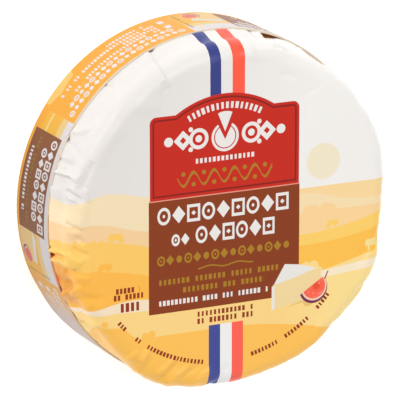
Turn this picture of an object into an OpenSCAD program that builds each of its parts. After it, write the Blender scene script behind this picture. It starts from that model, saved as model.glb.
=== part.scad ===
// A small soft cheese in a paper wrapper, held by a glued strip of printed card.
// It lies on its back, with its printed face up.  Millimetres and degrees.
// The origin is the middle of the bottom, +Z is up and +Y points to the top of the print.

/* [Card band] */
// Outer width of the band
band_d = 104; // [90:1:130]
// Height of the band
band_h = 21.2; // [16:0.2:30]
// Thickness of the card
card_t = 0.6; // [0.4:0.1:1]
// Height of the band's lower edge above the table
band_lift = 0.4; // [0.2:0.1:2]

/* [Lap of the band] */
// Direction in which the outer end of the strip stops
lap_at = 40; // [0:5:300]
// Angle over which the two ends are glued together
lap_glued = 14; // [6:1:30]
// Angle over which the inner end curls away from the outer layer
lap_loose = 20; // [8:1:30]
// Gap between the layers at the tip of the inner end
lap_gap = 1.8; // [0.5:0.1:3]
// Thickness of the glue between the two ends
glue_t = 0.05; // [0.05:0.01:0.2]
// Angle over which the single layer steps inwards to pass under the outer end
lap_run_in = 36; // [20:2:60]

/* [Wrapped cheese] */
// Play between the wrapper and the card
wrap_clear = 0.3; // [0.2:0.05:1]
// Height of the wrapped cheese above the band
crown_h = 12; // [8:0.5:18]
// Distance of the shoulder in from the wrapper's side
shoulder_in = 0.9; // [0:0.1:6]
// Radius of the rounded shoulder
shoulder_r = 5; // [2:0.5:7]
// Radius of the rounded lower edge
foot_r = 4; // [2:0.5:8]
// Deepest pleat in the wrapper's side
pleat_depth = 1.1; // [0:0.1:2]

/* [Hidden] */

// The shoulder isn't round: direction, extra radius and half angle of each swelling
SWELLINGS = [[32, 1.2, 15], [16, 1.0, 10], [-31, 2.5, 10], [-59, 1.8, 9], [-82, 0.9, 9], [-113, 2.8, 12]];
// Pleats along the side: number round the pack, share of the depth and phase
PLEATS = [[13, 0.35, 20], [23, 0.35, 75], [31, 0.3, 140]];

strip_step = 2;       // degrees between the corners of the card strip
wrap_steps = 180;     // corners round the wrapper
arc_steps = 5;        // corners on the foot and on the shoulder
settle_slope = 0.45;  // steepest change in the wrapper's radius, in mm per degree

side_top = band_lift + band_h;
pack_h = side_top + crown_h;
strip_end = lap_at + 360 + lap_glued + lap_loose;

// Radius of the middle of the card at running angle t, from the outer end to the inner tip
function strip_r(t) =
    let (mid = (band_d - card_t) / 2,
         under = lap_at + 360,
         run_in = smooth((t - under + lap_run_in) / lap_run_in),
         loose = max(0, t - under - lap_glued),
         curl = (1 - cos(loose)) / (1 - cos(lap_loose)))
    mid - run_in * (card_t + glue_t) - curl * lap_gap;

// Rises from 0 to 1 as x goes from 0 to 1, level at both ends
function smooth(x) = let (s = min(1, max(0, x))) s * s * (3 - 2 * s);

// Signed angle from b to a, between -180 and 180
function turn(a, b) = let (d = (a - b) % 360) d > 180 ? d - 360 : d < -180 ? d + 360 : d;

// Inner face of the innermost layer of card in direction a
function card_inside(a) =
    let (first = lap_at + (((a - lap_at) % 360) + 360) % 360,
         second = first + 360,
         t = second <= strip_end ? second : first)
    strip_r(t) - card_t / 2;

// Radius that the wrapper can take: inside the card, and never turning sharply
function side_r(a) =
    min([for (d = [-8:2:8]) card_inside(a + d) + abs(d) * settle_slope]) - wrap_clear;

// Inward depth of the pleats in direction a
function pleat(a) =
    let (wave = [for (p = PLEATS) p[1] * (0.5 + 0.5 * sin(p[0] * a + p[2]))])
    pleat_depth * pow(wave * [1, 1, 1], 3);

// Radius of the shoulder in direction a
function crown_r(a) =
    let (bumps = [for (s = SWELLINGS) s[1] * exp(-pow(turn(a, s[0]) / s[2], 2) / 2)],
         total = bumps * [for (s = SWELLINGS) 1])
    (band_d / 2 - card_t - wrap_clear) - shoulder_in + total;

// Profile of the wrapper in direction a: radius and height of each corner, from the bottom up
function foot(a) =
    [for (i = [0:arc_steps])
        let (q = 90 * i / arc_steps)
        [side_r(a) - pleat(a) * sin(q) - foot_r * (1 - sin(q)), foot_r * (1 - cos(q))]];

function side(a) =
    [for (z = [(foot_r + side_top) / 2, side_top])
        [side_r(a) - pleat(a), z]];

function slope(a) =
    let (slope_h = crown_h - shoulder_r)
    [for (s = [1/3, 2/3])
        let (blend = smooth(s))
        [side_r(a) * (1 - blend) + crown_r(a) * blend - pleat(a) * (1 - s / 2), side_top + slope_h * s]];

function shoulder(a) =
    [for (i = [0:arc_steps])
        let (q = 90 * i / arc_steps)
        [crown_r(a) - pleat(a) * cos(q) / 2 - shoulder_r * (1 - cos(q)),
         pack_h - shoulder_r * (1 - sin(q))]];

function profile(a) = concat(foot(a), side(a), slope(a), shoulder(a));

module wrapped_cheese() {
    rings = len(profile(0));
    corners = [for (k = [0:wrap_steps - 1])
        let (a = 360 * k / wrap_steps)
        for (p = profile(a)) [p[0] * cos(a), p[0] * sin(a), p[1]]];
    walls = [for (k = [0:wrap_steps - 1], j = [0:rings - 2])
        let (here = k * rings + j, next = ((k + 1) % wrap_steps) * rings + j)
        each [[here, here + 1, next + 1], [here, next + 1, next]]];
    bottom = [for (k = [0:wrap_steps - 1]) k * rings];
    top = [for (k = [wrap_steps - 1:-1:0]) k * rings + rings - 1];
    color([0.96, 0.86, 0.66])
        polyhedron(corners, concat([bottom, top], walls), convexity = 4);
}

module band() {
    outer = [for (t = [lap_at:strip_step:strip_end]) ring_point(t, card_t / 2)];
    inner = [for (t = [strip_end:-strip_step:lap_at]) ring_point(t, -card_t / 2)];
    color([0.97, 0.71, 0.36])
        translate([0, 0, band_lift])
            linear_extrude(band_h)
                polygon(concat(outer, inner));
}

function ring_point(t, off) = (strip_r(t) + off) * [cos(t), sin(t)];

wrapped_cheese();
band();
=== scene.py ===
import bpy
import numpy as np
from mathutils import Matrix, Vector


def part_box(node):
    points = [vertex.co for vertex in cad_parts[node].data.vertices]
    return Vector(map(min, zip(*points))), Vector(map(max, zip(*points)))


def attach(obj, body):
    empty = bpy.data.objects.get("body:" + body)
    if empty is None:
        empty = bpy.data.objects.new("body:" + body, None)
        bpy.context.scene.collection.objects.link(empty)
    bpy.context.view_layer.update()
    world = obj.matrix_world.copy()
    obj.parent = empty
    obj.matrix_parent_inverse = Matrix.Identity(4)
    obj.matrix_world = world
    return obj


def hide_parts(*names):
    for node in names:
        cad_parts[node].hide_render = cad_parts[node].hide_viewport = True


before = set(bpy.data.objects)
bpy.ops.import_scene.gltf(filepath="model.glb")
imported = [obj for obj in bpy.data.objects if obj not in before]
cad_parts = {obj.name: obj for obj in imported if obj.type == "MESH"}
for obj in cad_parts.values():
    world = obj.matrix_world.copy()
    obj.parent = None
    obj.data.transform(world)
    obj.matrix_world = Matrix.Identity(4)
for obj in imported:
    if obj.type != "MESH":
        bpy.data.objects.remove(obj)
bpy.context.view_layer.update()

# Sizes in this script are in millimetres and degrees, and go into the meshes in metres.
# The pack lies on its back: +Z is out of the printed face and +Y is towards the top of the print.
MM = 0.001
PRINT_UNIT = 100  # print coordinates are kept in units of 100 mm, or of 100 degrees along the card
CARD_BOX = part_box("band")
BAND_R = (CARD_BOX[1].x - CARD_BOX[0].x) / 2 / MM
BAND_LOW = CARD_BOX[0].z / MM
BAND_TOP = CARD_BOX[1].z / MM
PACK_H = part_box("wrapped_cheese")[1].z / MM

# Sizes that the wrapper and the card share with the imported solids.
CARD_T, GLUE_T = 0.6, 0.05
LAP_AT, LAP_GLUED, LAP_LOOSE, LAP_RUN_IN = 40, 14, 20, 36
LAP_GAP = 1.8
WRAP_CLEAR = 0.3
SHOULDER_IN, SHOULDER_R, FOOT_R = 0.9, 5, 4
PLEAT_DEPTH = 1.1
SETTLE_SLOPE, SETTLE_REACH, SETTLE_STEP = 0.45, 8, 2  # how the wrapper eases past the lap, by degrees
STRIP_END = LAP_AT + 360 + LAP_GLUED + LAP_LOOSE
# The shoulder isn't round: direction, extra radius and half angle of each swelling.
SWELLINGS = ((32, 1.2, 15), (16, 1.0, 10), (-31, 2.5, 10), (-59, 1.8, 9), (-82, 0.9, 9), (-113, 2.8, 12))
# Pleats along the side: number round the pack, share of the depth and phase.
PLEATS = ((13, 0.35, 20), (23, 0.35, 75), (31, 0.3, 140))
SLOPE_H = PACK_H - BAND_TOP - SHOULDER_R
RIM_Q = SLOPE_H + SHOULDER_R * np.pi / 2  # sheet distance from the card's front edge to the flat face

# Camera: direction from the pack, distance from the aim and focal length.
VIEW = Vector((-0.4197, 0.2708, 0.8663)).normalized()
VIEW_DISTANCE = 1150
LENS = 361.3
AIM_RIGHT, AIM_UP = -3.67, 1.43  # aim beside the middle of the band's front edge

# Light that something white sends back, and light that its gloss adds: on the face and on the card's side.
FACE_LIGHT, PAPER_SHEEN = 1.10, 0.020
SIDE_LIGHT, CARD_SHEEN = 1.38, 0.03


# ---- shape of the pack

def smooth(x):
    """Rises from 0 to 1 as x goes from 0 to 1, level at both ends."""
    s = np.clip(x, 0, 1)
    return s * s * (3 - 2 * s)


def turn(a, b):
    """Signed angle from b to a, between -180 and 180 degrees."""
    return (a - b + 180) % 360 - 180


def strip_r(t):
    """Radius of the middle of the card at running angle t.

    One layer, a smooth step in under the lap, and a loose tip that curls in as 1 minus a cosine.
    """
    under = LAP_AT + 360
    run_in = smooth((t - under + LAP_RUN_IN) / LAP_RUN_IN)
    loose = np.radians(np.maximum(0, t - under - LAP_GLUED))
    curl = (1 - np.cos(loose)) / (1 - np.cos(np.radians(LAP_LOOSE)))
    return BAND_R - CARD_T / 2 - run_in * (CARD_T + GLUE_T) - curl * LAP_GAP


def card_inside(a):
    """Inner face of the innermost layer of card in direction a."""
    first = LAP_AT + (a - LAP_AT) % 360
    return strip_r(np.where(first + 360 <= STRIP_END, first + 360, first)) - CARD_T / 2


def side_r(a):
    """Radius that the wrapper takes inside the card: the least room near a, where each has a slope added."""
    beside = range(-SETTLE_REACH, SETTLE_REACH + 1, SETTLE_STEP)
    room = [card_inside(a + d) + abs(d) * SETTLE_SLOPE for d in beside]
    return np.min(room, axis=0) - WRAP_CLEAR


def pleat(a):
    """Inward depth of the pleats: the cube of a weighted sum of three sine waves round the pack."""
    wave = sum(share * (0.5 + 0.5 * np.sin(np.radians(n * a + at))) for n, share, at in PLEATS)
    return PLEAT_DEPTH * wave**3


def crown_r(a):
    """Radius of the shoulder: a circle with a bell-shaped swelling at each place in SWELLINGS."""
    swell = sum(more * np.exp(-((turn(a, at) / wide) ** 2) / 2) for at, more, wide in SWELLINGS)
    return BAND_R - CARD_T - WRAP_CLEAR - SHOULDER_IN + swell


def wrapper_point(a, q):
    """Place on the unfolded wrapper in direction a, q mm up the sheet from the card's front edge.

    A straight side below 0, a slope that blends from the side to the shoulder, a quarter round and
    the flat face.
    """
    rise = np.clip(q / SLOPE_H, 0, 1)
    blend = smooth(rise)
    bend = np.clip((q - SLOPE_H) / SHOULDER_R, 0, np.pi / 2)
    r = side_r(a) * (1 - blend) + crown_r(a) * blend
    r = r - pleat(a) * (1 - rise / 2) * np.cos(bend)
    r = r - SHOULDER_R * (1 - np.cos(bend)) - np.maximum(q - RIM_Q, 0)
    z = BAND_TOP + np.minimum(q, SLOPE_H) + SHOULDER_R * np.sin(bend)
    return round_pack(a, r, z)


def round_pack(a, r, z):
    """Place of a direction, radius and height: x and y are r times the cosine and sine of a."""
    t = np.radians(a)
    return np.stack([r * np.cos(t), r * np.sin(t), z + 0 * a], -1)


# ---- folds in the wrapper

# Each crease: places as (direction, distance up the sheet), height, width on its left, width on its right.
# Left and right are seen from outside, walking along the crease.  A height below 0 is a valley.
CREASES = (
    # upper left, from the stripes round to the sky's end
    (((113, -2), (115, 7), (116.2, 13), (116, 16)), 0.5, 0.7, 5),
    (((117, 13.5), (118, 16.5)), -0.35, 1.0, 1.4),
    (((130, -1.5), (129.6, 3)), -0.5, 1.4, 1.0),
    (((150.5, -2), (147.5, 4), (144, 7.5)), 0.65, 3.0, 0.9),
    (((152, -1), (152.5, 4), (154, 8)), -0.39, 1.6, 1.6),
    (((158, -2), (158.5, 3), (157, 7)), -0.65, 1.2, 1.2),
    (((131, 13.4), (127, 17), (123, 19.5)), 0.3, 3.5, 3.0),
    (((138, 14.2), (148, 13.6), (156, 13)), 0.28, 3.2, 4.0),
    # loose tab of paper above the pale hill
    (((162.6, -1), (161.6, 8), (162.4, 10.4)), 1.12, 3.2, 0.45),
    (((167.2, -1), (166.4, 6), (164.2, 10)), 0.9, 0.5, 3.2),
    (((160.6, 0), (160.2, 5)), -0.75, 1.6, 1.2),
    (((154, 12.6), (158, 12.6), (162, 12), (165.2, 11.4)), -0.65, 1.1, 1.5),
    (((155, 10), (160, 10.6), (165.5, 10.4), (169, 10.6)), 0.52, 1.3, 1.6),
    (((165.6, 8), (166.6, 10), (167.8, 12.6)), -0.68, 0.8, 0.8),
    (((167.4, 7), (168.4, 9.4), (168.2, 11.6)), 0.52, 0.8, 0.9),
    (((163.8, 13), (166.4, 13.8), (168.2, 15)), 0.45, 1.0, 1.2),
    # long fold down the left shoulder, its pinch and the folds below it
    (((168, 12.2), (172, 12.9), (176, 13.1), (178.2, 13.2)), 0.6, 2.4, 2.2),
    (((176.4, 8.6), (177.6, 10.6), (178, 13.2)), -0.6, 1.3, 1.0),
    (((178.6, 8.5), (179.4, 11), (179, 13.2)), 0.5, 1.0, 2.4),
    (((180.5, 12), (183.5, 14.6)), -0.52, 1.2, 1.2),
    (((184.4, 10.6), (186.6, 13.4), (188, 15.6)), -0.45, 1.0, 1.6),
    (((188, -2), (187, 4), (187, 8.2), (186.4, 10.6)), 1.05, 0.8, 4.0),
    (((189.4, -2), (188.8, 4), (188.6, 9)), -1.5, 1.5, 1.3),
    (((187.2, 8.4), (189.2, 11.6), (190.4, 13)), 0.65, 1.4, 2.2),
    (((190.6, 0), (190.2, 6), (190.6, 9), (192.4, 10)), 0.98, 2.2, 0.8),
    (((192.4, 6), (193.2, 9.6), (193.8, 12.4)), -0.6, 1.4, 1.6),
    (((194.6, 9), (195.4, 12), (197, 14)), 0.52, 1.4, 2.0),
    (((192.8, 5.4), (196, 3.6), (199, 3), (203.2, 1)), 0.75, 3.4, 0.9),
    (((197.5, 0), (198, 5), (198.6, 8)), -0.9, 2.6, 2.2),
    (((203.8, -1.5), (200.4, 6.2), (198.2, 11.4)), 1.12, 0.9, 2.8),
    (((200.4, 6.2), (203.6, 9), (207.2, 11.2)), 0.6, 2.0, 3.0),
    (((202.6, 7.6), (203.6, 12), (206, 16)), -0.52, 1.8, 2.4),
    (((205.6, 2.4), (209.6, 7.4), (213, 12.6)), -0.45, 2.4, 2.0),
    (((211.4, 4), (213.8, 7.4), (214.6, 10.4)), 0.68, 1.6, 1.0),
    (((214.2, 1), (215, 6), (216.8, 9)), -0.75, 1.6, 2.4),
    # lower edge
    (((230.4, 9), (230.9, 14.5)), 0.57, 1.0, 2.2),
    (((233.8, 12.2), (234.4, 17)), 0.76, 0.8, 1.8),
    (((237.5, 10), (237, 16)), -0.47, 1.4, 1.2),
    (((241.6, 12), (244, 16), (246.4, 20)), 0.61, 0.8, 1.6),
    (((244, 11), (246, 15), (248.2, 19)), -0.57, 1.1, 0.9),
    (((246.6, 10), (249, 14.4), (253, 18)), 0.57, 0.9, 1.6),
    (((250.6, 12), (253, 15.6), (258, 18)), -0.42, 1.2, 1.2),
    (((256, 11), (259, 15), (263, 17)), 0.47, 1.0, 1.8),
    (((265, 10), (267, 14), (268, 17)), -0.47, 1.2, 1.2),
    # flat place at the lower right, and the folds beside it
    (((316, 12), (322, 12.6), (329, 12.4)), -0.4, 3.6, 3.0),
    (((331.5, 8), (328, 10.6), (323.5, 12.6)), -0.6, 1.4, 2.4),
    (((302, 11), (305, 14), (311, 16.4)), 0.3, 1.6, 2.6),
    (((336, 10), (338, 14), (341, 17)), -0.3, 1.6, 2.4),
    (((-25, 5), (-22, 9), (-19, 13.5)), 0.9, 9, 9),
    # shoulder beside the lap, and above the stripes
    (((86, 12.4), (80, 12.4), (75, 11.6), (66, 10)), 0.4, 2.4, 3.0),
    (((68.4, 9.4), (66.6, 10.8)), -0.7, 1.0, 1.0),
    (((73.6, 3), (72.4, 8), (72.6, 10)), 0.56, 2.4, 1.2),
    (((73, 9.6), (69, 9.4), (65.4, 8.6)), -0.49, 1.2, 1.6),
    (((77.4, 0), (76, 5)), -0.84, 1.6, 1.0),
    (((55, 20.5), (52.6, 18), (50.4, 15.4)), -0.14, 1.2, 1.6),
    (((52.6, 20), (50.6, 17.6), (49, 15.6)), 0.1, 1.2, 1.8),
    (((69, 18), (65, 17), (61.5, 17.4)), -0.28, 1.4, 1.6),
    (((98, 14.5), (96, 18), (97, 24)), 0.15, 3.0, 3.0),
)
# Where the paper is drawn in at the card's edge: direction, half width, depth and reach up the slope.
NOTCHES = (
    (112.4, 1.7, 0.9, 2.0), (130.5, 0.6, 0.45, 1.2), (151.3, 1.5, 0.6, 1.3), (158, 0.6, 0.5, 1.2),
    (161.4, 0.8, 0.7, 1.3), (186.6, 0.5, 0.6, 1.2), (189.2, 1.0, 1.5, 2.6), (201.5, 2.2, 0.7, 1.4),
    (212, 2.6, 0.4, 1.2), (224, 0.8, 0.6, 1.5), (77, 0.8, 0.7, 1.8), (20, 0.8, 1.6, 2), (-8, 0.6, 1.4, 2),
    (-36, 1.0, 1.8, 3), (-64, 0.7, 1.4, 2), (-88, 0.9, 1.6, 2), (246, 0.7, 1.2, 2),
)
NOTCH_POWER = 1.5           # how a notch fades up the slope
BUSY = (100, 232)           # directions between which every fold is listed above
# Small folds round the rest of the slope: how many, and the ranges that chance draws their sizes from.
LOOSE_FOLDS, LOOSE_SEED = 52, 11
LOOSE_LEAN, LOOSE_TOP, LOOSE_HEIGHT, LOOSE_WIDTH = (-5, 5), (4, 15), (0.1, 0.3), (0.7, 2.8)
SPINE_STEPS = 14            # places on each stretch of a crease
RISE, FALL = 4, 2.5         # a crease rises over 1 / RISE of its length and falls over the last 1 / FALL
TENT_POWER = 1.1            # 1 is a straight slope beside a crease, and more is a hollow one


def spine(path):
    """Dense places along a crease, on straight lines between its given directions and sheet distances."""
    corners = np.array(path, float)
    steps = np.linspace(0, len(corners) - 1, SPINE_STEPS * (len(corners) - 1) + 1)
    a = np.interp(steps, range(len(corners)), corners[:, 0])
    q = np.interp(steps, range(len(corners)), corners[:, 1])
    return wrapper_point(a, q)


def crease_heights(places, normals, creases):
    """Sum of tents: each falls from its crease's height to 0 at its width on that side.

    A crease tapers to its ends as the square root of a quarter sine.  One that starts under the card
    keeps its full height there.
    """
    total = np.zeros(len(places))
    for path, height, left, right in creases:
        line = spine(path)
        along = np.gradient(line, axis=0)
        reach = max(left, right)
        near = np.all((places > line.min(0) - reach) & (places < line.max(0) + reach), axis=1)
        if not near.any():
            continue
        gap = places[near][:, None, :] - line[None]
        far = np.linalg.norm(gap, axis=2)
        i = far.argmin(axis=1)
        gap = gap[np.arange(len(i)), i]
        side = np.einsum("ij,ij->i", np.cross(normals[near], along[i]), gap)
        width = np.where(side > 0, left, right)
        part = i / (len(line) - 1)
        start = 1 if path[0][1] < 0 else 0
        taper = np.sqrt(np.sin(np.pi / 2 * np.clip((start + part) * RISE, 0, 1)))
        taper = taper * np.sqrt(np.sin(np.pi / 2 * np.clip((1 - part) * FALL, 0, 1)))
        total[near] += height * taper * np.clip(1 - far.min(axis=1) / width, 0, 1) ** TENT_POWER
    return total


def loose_folds():
    """Small folds at seeded random places round the slope, between the listed ones."""
    rng = np.random.default_rng(LOOSE_SEED)
    folds = []
    for a in rng.uniform(BUSY[1], 360 + BUSY[0], LOOSE_FOLDS):
        lean = rng.uniform(*LOOSE_LEAN)
        top = rng.uniform(*LOOSE_TOP)
        height = rng.uniform(*LOOSE_HEIGHT) * rng.choice((-1, 1))
        left, right = rng.uniform(*LOOSE_WIDTH, 2)
        path = ((a, -2), (a + lean / 2, top / 2), (a + lean, top))
        folds.append((path, height, left, right))
    return folds


def notch_depth(a, q):
    """Inward depth of the notches: a tent round each direction that fades up the slope."""
    depth = 0
    for at, half, deep, reach in NOTCHES:
        across = np.clip(1 - np.abs(turn(a, at)) / half, 0, 1)
        depth = depth + deep * across * np.clip(1 - q / reach, 0, 1) ** NOTCH_POWER
    return depth


# ---- wrapper

CLOSE_COLUMNS, WIDE_COLUMNS = 376, 264  # columns of the wrapper's grid on its busy side and on the rest
BACK_ROWS, FOOT_ROWS, SIDE_ROWS = 14, 10, 9
SLOPE_ROWS, FACE_EDGE_ROWS, MIDDLE_ROWS = 60, 32, 28
FINE_FROM = -2              # sheet distance at which the close rows start
FACE_EDGE = (0.35, 13)      # first and last of the close rows on the flat face, in mm past its edge
GATHERS, GATHER_LIFT = 44, 0.9  # pleats where the sheet is gathered on the bottom, and their height
GATHER_SWAY, GATHER_TWIST = 60, 90  # their uneven spacing, and their turn on the way in, as phase
FOLDS_END = 30              # how far past the flat face's edge folds are looked for
# Slow waves on the flat face: height, the length that they rise over, and their lengths over 2 pi.
FACE_WAVE, FACE_WAVE_IN = 0.10, 8
FACE_WAVE_X, FACE_WAVE_Y, FACE_WAVE_BEND = 7.3, 8.1, 9
STRIPES_BESIDE = 8          # distance from the middle within which the stripes run

# How the sheet lies at the card's front edge.
HUG_FROM, HUG_IN = -3, 2    # sheet distance from which it leans out, and the length that this comes in over
HUG_REACH, HUG_MOST = 6, 1.6  # height up the slope over which it leans out, and how far
CARD_PRESS = 0.1            # how far it presses into the card where it lies against it
TUCKED_Q = 0.3              # sheet distance up to which it stays inside the card
AGAINST_Q = 1.5             # sheet distance up to which it is held out against the card
AGAINST_FROM, AGAINST_SLOPE = 0.2, 0.9  # where that begins to slope in, and how steeply
LAP_COVER = (66, 9, 1.1)    # leaning out over the card's loose end: direction, half width and most
LAP_COVER_IN, LAP_COVER_OUT = 0.6, (1, 5)   # length it comes in over, and where and over what it goes again


def back_rows(a):
    """Bottom: a disc from its middle outwards, in pleats that lift it off the table.

    The pleats are a sine wave round the pack that turns slightly on its way in and fades at both ends.
    """
    rows = []
    foot_in = side_r(a) - FOOT_R
    for k in range(BACK_ROWS):
        part = (k + 0.4) / (BACK_ROWS + 0.4)
        sway = GATHER_SWAY * np.sin(np.radians(3 * a))
        wave = 0.5 + 0.5 * np.sin(np.radians(GATHERS * a + sway + GATHER_TWIST * part))
        lift = GATHER_LIFT * wave * np.sin(np.pi * np.clip(part * 1.05, 0, 1)) ** 0.7
        rows.append((foot_in * part, lift))
    return rows


def wrapper_rows(a):
    """Radius, height and sheet distance of each row, from the middle of the bottom up and in.

    The bottom, a quarter round foot, the straight side, close rows up the slope and over the shoulder,
    and rows across the flat face to its middle.
    """
    rows = []
    side, inward = side_r(a), pleat(a)
    under_q = FOOT_R - BAND_TOP - FOOT_R * np.pi / 2
    for r, z in back_rows(a):
        rows.append((r, z, under_q - (side - FOOT_R - r)))
    for k in range(FOOT_ROWS):
        bend = np.pi / 2 * k / FOOT_ROWS
        r = side - inward * np.sin(bend) - FOOT_R * (1 - np.sin(bend))
        rows.append((r, FOOT_R * (1 - np.cos(bend)) + 0 * a, under_q + FOOT_R * bend + 0 * a))
    for k in range(SIDE_ROWS):
        z = FOOT_R + (BAND_TOP + FINE_FROM - FOOT_R) * k / SIDE_ROWS
        rows.append((side - inward, z + 0 * a, z - BAND_TOP + 0 * a))
    slope = np.linspace(FINE_FROM, RIM_Q, SLOPE_ROWS)
    fine = np.concatenate([slope, RIM_Q + np.linspace(*FACE_EDGE, FACE_EDGE_ROWS)])
    for q in fine:
        place = wrapper_point(a, np.full_like(a, q))
        rows.append((np.hypot(place[:, 0], place[:, 1]), place[:, 2], q + 0 * a))
    last_r = rows[-1][0]
    for part in np.linspace(0, 1, MIDDLE_ROWS)[1:-1]:
        rows.append((last_r * (1 - part), PACK_H + 0 * a, fine[-1] + last_r * part))
    return [np.stack(parts) for parts in zip(*rows)]


def grid_normals(place):
    """Outward unit normals of a grid that is closed along its second side: its two directions, crossed."""
    up = np.gradient(place, axis=0)
    ring = np.roll(place, -1, axis=1) - np.roll(place, 1, axis=1)
    normal = np.cross(ring, up)
    return normal / np.maximum(np.linalg.norm(normal, axis=2, keepdims=True), 1e-9)


def sheet_place(a, place, q):
    """Print coordinates: the place seen from above, with the length that the slope takes up added outwards.

    Near the stripes the length is added along y only, because the folds take up the sheet's width there.
    Beside the middle of the bottom, where x is small too, it is added along both.
    """
    flat = np.hypot(place[..., 0], place[..., 1])
    rim = crown_r(a) - SHOULDER_R
    extra = np.where(q < RIM_Q, (RIM_Q - q) - (flat - rim), 0)
    t = np.radians(a)
    beside_stripes = smooth((np.abs(place[..., 0]) - STRIPES_BESIDE) / STRIPES_BESIDE)
    beside_middle = 1 - smooth((np.abs(np.sin(t)) - 0.3) / 0.4)
    spread = np.maximum(beside_stripes, beside_middle)
    return np.stack([place[..., 0] + extra * np.cos(t) * spread, place[..., 1] + extra * np.sin(t)], -1)


def fold(place, q):
    """Moves a grid along its normals by the creases, and by two crossed sine waves on the flat face."""
    normal = grid_normals(place)
    folded = (q > FINE_FROM) & (q < RIM_Q + FOLDS_END)
    lift = np.zeros(q.shape)
    lift[folded] = crease_heights(place[folded], normal[folded], CREASES + tuple(loose_folds()))
    x, y = place[..., 0], place[..., 1]
    face = smooth((q - RIM_Q) / FACE_WAVE_IN)
    bent = x / FACE_WAVE_X + 0.6 * np.sin(y / FACE_WAVE_BEND)
    lift = lift + face * FACE_WAVE * np.sin(bent) * np.sin(y / FACE_WAVE_Y + 1)
    return place + normal * lift[..., None]


def held_by_card(a, q, r):
    """Radius r once the card holds the sheet.

    It leans out to the card's edge, is drawn in at the notches, stays inside the card below the edge,
    is held out against it just above, and leans out in a bell over the card's loose end.
    """
    inside = card_inside(a) + CARD_PRESS
    at_edge = smooth((q - HUG_FROM) / HUG_IN) * (1 - smooth(q / HUG_REACH))
    slack = np.clip(inside - side_r(a) + pleat(a), 0, HUG_MOST)
    notch = np.where(q > FINE_FROM, notch_depth(a, q), 0)
    kept = r + at_edge * slack - notch
    against = inside - notch - np.maximum(q - AGAINST_FROM, 0) * AGAINST_SLOPE
    kept = np.where((q > FINE_FROM) & (q < AGAINST_Q), np.maximum(kept, against), kept)
    kept = np.where(q < TUCKED_Q, np.minimum(kept, inside), kept)
    at, half, most = LAP_COVER
    out_from, out_over = LAP_COVER_OUT
    over_lap = most * np.exp(-((turn(a, at) / half) ** 2)) * smooth((q - TUCKED_Q) / LAP_COVER_IN)
    return kept + over_lap * (1 - smooth((q - out_from) / out_over))


def wrapper_mesh():
    """Grid of the sheet over the cheese: the plain form, folded and then held by the card, and its print."""
    a = np.concatenate([
        np.linspace(*BUSY, CLOSE_COLUMNS, endpoint=False),
        np.linspace(BUSY[1], BUSY[0] + 360, WIDE_COLUMNS, endpoint=False),
    ])
    r, z, q = wrapper_rows(a)
    around = np.broadcast_to(a, r.shape)
    place = round_pack(around, r, z)
    sheet = sheet_place(around, place, q)
    place = fold(place, q)
    flat = np.hypot(place[..., 0], place[..., 1])
    place[..., :2] *= (held_by_card(around, q, flat) / np.maximum(flat, 1e-9))[..., None]
    place[..., 2] = np.maximum(place[..., 2], 0)
    return place, sheet


def in_scene(name, data):
    """A new object in the scene."""
    obj = bpy.data.objects.new(name, data)
    bpy.context.scene.collection.objects.link(obj)
    return obj


def lay_grid(name, place, print_place, end_faces, materials, which=None):
    """A mesh of quads over a grid closed along its second side, with its ends closed, and its print map.

    place is rows by columns by 3 in mm, and which is the number of each face's material.
    end_faces is "pole" for a middle point at each end, or "cap" for one face.
    The first pole's corners take the print of the corner before them, because its rows lie far out
    on the print.
    """
    rows, cols = place.shape[:2]
    here = np.arange(rows * cols).reshape(rows, cols)
    low, high = here[:-1], here[1:]
    quads = np.stack([low, np.roll(low, -1, 1), np.roll(high, -1, 1), high], -1).reshape(-1, 4)
    points = place.reshape(-1, 3)
    prints = print_place.reshape(-1, 2)
    faces = quads.tolist()
    if end_faces == "pole":
        points = np.vstack([points, place[0].mean(0), place[-1].mean(0)])
        prints = np.vstack([prints, print_place[0].mean(0), print_place[-1].mean(0)])
        first, last = rows * cols, rows * cols + 1
        faces += np.stack([np.roll(here[0], -1), here[0], np.full(cols, first)], -1).tolist()
        faces += np.stack([here[-1], np.roll(here[-1], -1), np.full(cols, last)], -1).tolist()
    else:
        faces += [here[0][::-1].tolist(), here[-1].tolist()]
    mesh = bpy.data.meshes.new(name)
    mesh.from_pydata((points * MM).tolist(), [], faces)
    corners = np.zeros(len(mesh.loops), np.int32)
    mesh.loops.foreach_get("vertex_index", corners)
    shown = prints[corners]
    at_pole = np.flatnonzero(corners == rows * cols)
    shown[at_pole] = shown[at_pole - 1]
    layer = mesh.uv_layers.new(name="print")
    layer.data.foreach_set("uv", (shown / PRINT_UNIT).astype(np.float32).ravel())
    mesh.polygons.foreach_set("use_smooth", np.ones(len(mesh.polygons), bool))
    for material in materials:
        mesh.materials.append(material)
    if which is not None:
        mesh.polygons.foreach_set("material_index", np.asarray(which, np.int32))
    mesh.update()
    mesh.validate()
    return in_scene(name, mesh)


def paper_wrapper():
    """The wrapper's mesh with its print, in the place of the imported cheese."""
    place, sheet = wrapper_mesh()
    obj = lay_grid("paper_wrapper", place, sheet, "pole", [printed_paper()])
    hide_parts("wrapped_cheese")
    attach(obj, "root")


# ---- card band

CARD_EDGE_R = 0.1   # rounding of the card's cut edges
CARD_STEP = 1       # degrees between the strip's corners
CARD_ROWS = 14      # rows across each of its faces
CUT_LOOK, INSIDE_LOOK = (252, 238, 216), (206, 160, 120)
# Shallow dents: direction, half width, depth, and whether it is at the back edge.
CARD_DENTS = (
    (209, 6, 0.35, True), (171, 14, 0.18, False), (96, 18, 0.15, False), (128, 12, -0.12, False),
    (-30, 25, 0.3, False),
)
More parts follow.
